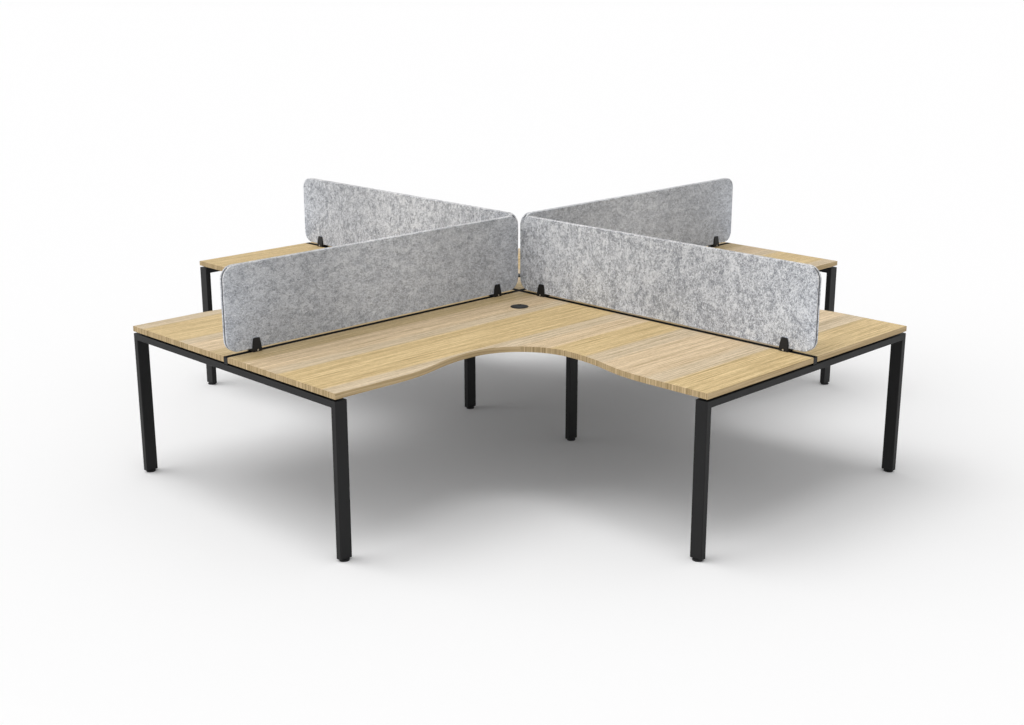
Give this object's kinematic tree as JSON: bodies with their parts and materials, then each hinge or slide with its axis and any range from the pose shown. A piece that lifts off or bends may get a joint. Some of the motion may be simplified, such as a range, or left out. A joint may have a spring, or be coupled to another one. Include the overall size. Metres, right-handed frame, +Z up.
{
  "type": "cubicle workstation",
  "caption": "Cross-shaped cluster of corner desks with wave-edged oak tops, grey felt screens on black clamps, and black tube frames on levelling feet.",
  "frame": {"origin": "on the floor, under the middle of the cross of screens", "axes": "+Z up; the four screens run along +X, -X, +Y and -Y; the picture looks from between +X and -Y"},
  "size_m": [3.63, 3.63, 1.13],
  "materials": {
    "oak_top": "matt light oak melamine",
    "oak_edge": "matt light oak edging",
    "grey_felt": "pressed grey felt",
    "dark_board": "dark fibreboard",
    "black_frame": "fine textured black powder coat",
    "black_strip": "matt black",
    "black_clamp": "satin black",
    "black_plastic": "matt black",
    "screw_steel": "zinc plated",
    "plate_steel": "black"
  },
  "bodies": {
    "workstation": {"back_left_frame_beam": "black_frame", "back_left_frame_left_leg": "black_frame", "back_left_frame_right_leg": "black_frame", "back_left_rail_left": "black_frame", "back_left_rail_right": "black_frame", "back_right_frame_beam": "black_frame", "back_right_frame_left_leg": "black_frame", "back_right_frame_right_leg": "black_frame", "back_right_rail_left": "black_frame", "back_right_rail_right": "black_frame", "centre_frame_beam": "black_frame", "centre_frame_left_leg": "black_frame", "centre_frame_right_leg": "black_frame", "clamp_bases": "black_clamp", "clamp_plates": "black_clamp", "clamp_screws": "screw_steel", "desktop_back": "oak_top", "desktop_front": "oak_top", "desktop_left": "oak_top", "desktop_right": "oak_top", "edge_bands": "oak_edge", "front_left_frame_beam": "black_frame", "front_left_frame_left_leg": "black_frame", "front_left_frame_right_leg": "black_frame", "front_left_rail_left": "black_frame", "front_left_rail_right": "black_frame", "front_right_frame_beam": "black_frame", "front_right_frame_left_leg": "black_frame", "front_right_frame_right_leg": "black_frame", "front_right_rail_left": "black_frame", "front_right_rail_right": "black_frame", "gap_strip_back_left": "black_strip", "gap_strip_back_right": "black_strip", "gap_strip_end_caps": "black_frame", "gap_strip_front_left": "black_strip", "gap_strip_front_right": "black_strip", "grommet_sleeves": "black_plastic", "joining_plate_screws": "screw_steel", "rail_joining_plates": "plate_steel", "screen_back_left": "grey_felt", "screen_back_right": "grey_felt", "screen_cores": "dark_board", "screen_front_left": "grey_felt", "screen_front_right": "grey_felt", "top_fixing_screws": "screw_steel", "top_spacers": "black_plastic"},
    "back_left_frame_left_foot": {"back_left_frame_left_foot": "black_plastic"},
    "back_left_frame_right_foot": {"back_left_frame_right_foot": "black_plastic"},
    "back_right_frame_left_foot": {"back_right_frame_left_foot": "black_plastic"},
    "back_right_frame_right_foot": {"back_right_frame_right_foot": "black_plastic"},
    "centre_frame_left_foot": {"centre_frame_left_foot": "black_plastic"},
    "centre_frame_right_foot": {"centre_frame_right_foot": "black_plastic"},
    "front_left_frame_left_foot": {"front_left_frame_left_foot": "black_plastic"},
    "front_left_frame_right_foot": {"front_left_frame_right_foot": "black_plastic"},
    "front_right_frame_left_foot": {"front_right_frame_left_foot": "black_plastic"},
    "front_right_frame_right_foot": {"front_right_frame_right_foot": "black_plastic"},
    "grommet_cap_back": {"grommet_cap_back": "black_plastic"},
    "grommet_cap_front": {"grommet_cap_front": "black_plastic"},
    "grommet_cap_left": {"grommet_cap_left": "black_plastic"},
    "grommet_cap_right": {"grommet_cap_right": "black_plastic"}
  },
  "joints": [
    {"name": "back_left_left_foot_height", "type": "slide", "parent": "workstation", "child": "back_left_frame_left_foot", "axis": [0, 0, -1], "range_m": [0, 0.02]},
    {"name": "back_left_right_foot_height", "type": "slide", "parent": "workstation", "child": "back_left_frame_right_foot", "axis": [0, 0, -1], "range_m": [0, 0.02]},
    {"name": "back_right_left_foot_height", "type": "slide", "parent": "workstation", "child": "back_right_frame_left_foot", "axis": [0, 0, -1], "range_m": [0, 0.02]},
    {"name": "back_right_right_foot_height", "type": "slide", "parent": "workstation", "child": "back_right_frame_right_foot", "axis": [0, 0, -1], "range_m": [0, 0.02]},
    {"name": "centre_left_foot_height", "type": "slide", "parent": "workstation", "child": "centre_frame_left_foot", "axis": [0, 0, -1], "range_m": [0, 0.02]},
    {"name": "centre_right_foot_height", "type": "slide", "parent": "workstation", "child": "centre_frame_right_foot", "axis": [0, 0, -1], "range_m": [0, 0.02]},
    {"name": "front_left_left_foot_height", "type": "slide", "parent": "workstation", "child": "front_left_frame_left_foot", "axis": [0, 0, -1], "range_m": [0, 0.02]},
    {"name": "front_left_right_foot_height", "type": "slide", "parent": "workstation", "child": "front_left_frame_right_foot", "axis": [0, 0, -1], "range_m": [0, 0.02]},
    {"name": "front_right_left_foot_height", "type": "slide", "parent": "workstation", "child": "front_right_frame_left_foot", "axis": [0, 0, -1], "range_m": [0, 0.02]},
    {"name": "front_right_right_foot_height", "type": "slide", "parent": "workstation", "child": "front_right_frame_right_foot", "axis": [0, 0, -1], "range_m": [0, 0.02]},
    {"name": "grommet_cap_back_turn", "type": "hinge", "parent": "workstation", "child": "grommet_cap_back", "pos_m": [-0.253, 0.253, 0.73], "axis": [0, 0, 1], "continuous": true},
    {"name": "grommet_cap_front_turn", "type": "hinge", "parent": "workstation", "child": "grommet_cap_front", "pos_m": [0.253, -0.253, 0.73], "axis": [0, 0, 1], "continuous": true},
    {"name": "grommet_cap_left_turn", "type": "hinge", "parent": "workstation", "child": "grommet_cap_left", "pos_m": [-0.253, -0.253, 0.73], "axis": [0, 0, 1], "continuous": true},
    {"name": "grommet_cap_right_turn", "type": "hinge", "parent": "workstation", "child": "grommet_cap_right", "pos_m": [0.253, 0.253, 0.73], "axis": [0, 0, 1], "continuous": true}
  ]
}
